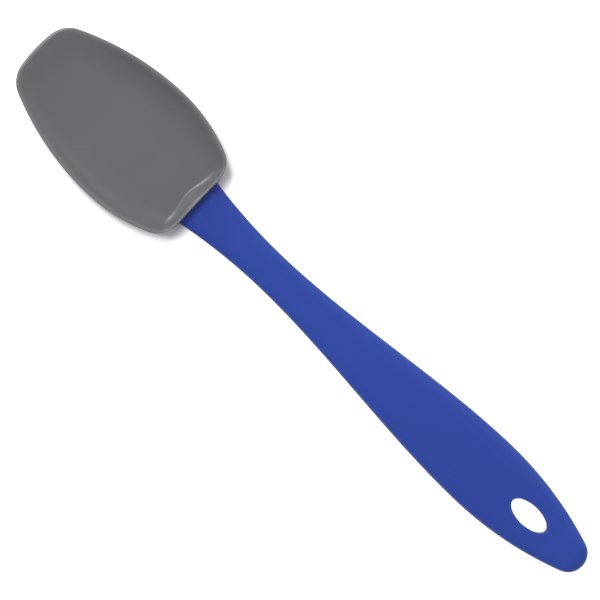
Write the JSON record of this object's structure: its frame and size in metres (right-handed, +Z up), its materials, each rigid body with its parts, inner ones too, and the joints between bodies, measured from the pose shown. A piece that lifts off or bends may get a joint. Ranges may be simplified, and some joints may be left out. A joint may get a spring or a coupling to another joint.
{
  "type": "silicone spoon",
  "caption": "Kitchen spoon with a soft grey silicone bowl that pulls off the flat tang of a blue plastic handle with an oval hanging hole.",
  "frame": {"origin": "middle of the bounding box, on the surface that the spoon lies on", "axes": "+X from the head to the tail, +Z up out of the open side of the bowl, +Y to the left seen from the head"},
  "size_m": [0.254, 0.047, 0.0093],
  "materials": {
    "silicone": "satin grey silicone",
    "handle_plastic": "blue polypropylene, satin and slightly see-through"
  },
  "bodies": {
    "handle": {"handle": "handle_plastic"},
    "head": {"silicone_head": "silicone"}
  },
  "joints": [
    {"name": "head_pull_off", "type": "slide", "parent": "handle", "child": "head", "axis": [-1, 0, 0], "range_m": [0, 0.06]}
  ]
}
